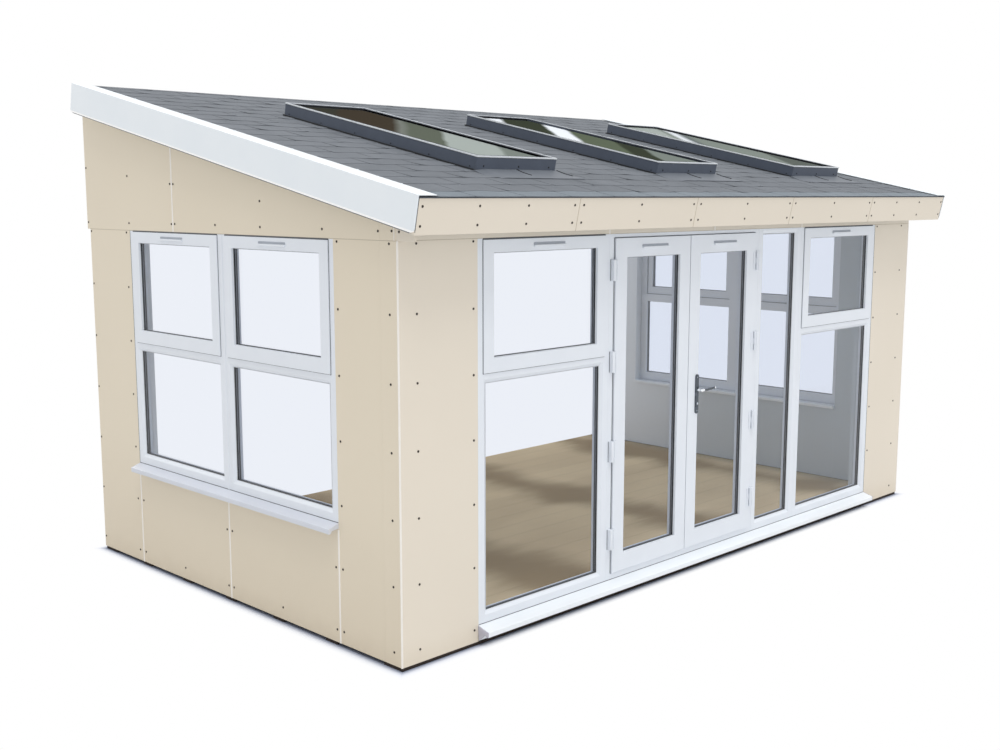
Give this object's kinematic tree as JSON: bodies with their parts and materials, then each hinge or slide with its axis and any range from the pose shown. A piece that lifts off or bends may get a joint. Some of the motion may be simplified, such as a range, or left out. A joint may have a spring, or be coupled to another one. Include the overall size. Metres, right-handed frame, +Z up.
{
  "type": "garden office pod",
  "caption": "Clad garden room with a mono-pitch roof, rooflights, glazed front with double doors, side windows and an open back.",
  "frame": {"origin": "on the ground under the middle of the footprint of the walls, on the underside of the middle floor bearer", "axes": "+X to the right along the glazed front as seen from outside, +Y from the front to the open back, +Z up"},
  "size_m": [5.345, 3.3583, 3.073],
  "materials": {
    "cladding": "cream painted boards",
    "bearer": "dark treated timber",
    "floor": "tan boarding",
    "structure": "pale lining board",
    "window_plastic": "white satin",
    "clear_glass": "clear double glazing",
    "shingle": "grey mineral felt",
    "upstand": "dark grey satin",
    "trim": "white satin",
    "handle": "polished"
  },
  "bodies": {
    "building": {"door_frame": "window_plastic", "door_frame_hinges": "window_plastic", "floor_bearers": "bearer", "floor_deck": "floor", "front_fascia": "cladding", "front_header": "cladding", "front_left_pier": "cladding", "front_left_window_frame": "window_plastic", "front_right_pier": "cladding", "front_right_window_frame": "window_plastic", "front_sill": "window_plastic", "front_window_glass": "clear_glass", "front_window_sashes": "window_plastic", "left_eaves_end": "cladding", "left_gable": "cladding", "left_verge_trim": "trim", "left_wall_back_panel": "cladding", "left_wall_front_panel": "cladding", "left_wall_lower_panel": "cladding", "left_window_frame": "window_plastic", "left_window_glass": "clear_glass", "left_window_sashes": "window_plastic", "rear_header": "structure", "right_gable": "cladding", "right_verge_trim": "trim", "right_wall_back_panel": "cladding", "right_wall_front_panel": "cladding", "right_wall_lower_panel": "cladding", "right_window_frame": "window_plastic", "right_window_glass": "clear_glass", "right_window_sashes": "window_plastic", "roof_deck": "structure", "roof_shingles": "shingle", "rooflight_glass": "clear_glass", "rooflight_left_upstand": "upstand", "rooflight_middle_upstand": "upstand", "rooflight_right_upstand": "upstand", "side_window_sills": "window_plastic", "sidelight_frame": "window_plastic", "window_boards": "window_plastic"},
    "door_left": {"door_left_glass": "clear_glass", "door_left_hinges": "window_plastic", "door_left_leaf": "window_plastic"},
    "door_right": {"door_right_glass": "clear_glass", "door_right_hinges": "window_plastic", "door_right_leaf": "window_plastic", "door_handle_plates": "handle"},
    "door_handle": {"door_handle_levers": "handle"}
  },
  "joints": [
    {"name": "door_left_swing", "type": "hinge", "parent": "building", "child": "door_left", "pos_m": [-0.973, -1.5585, 1.15], "axis": [0, 0, -1], "range_deg": [0, 100]},
    {"name": "door_right_swing", "type": "hinge", "parent": "building", "child": "door_right", "pos_m": [0.464, -1.5585, 1.15], "axis": [0, 0, 1], "range_deg": [0, 100]},
    {"name": "door_handle_turn", "type": "hinge", "parent": "door_right", "child": "door_handle", "pos_m": [-0.164, -1.5385, 1.16], "axis": [0, 1, 0], "range_deg": [0, 40], "stiffness_Nm_per_rad": 1.5}
  ]
}
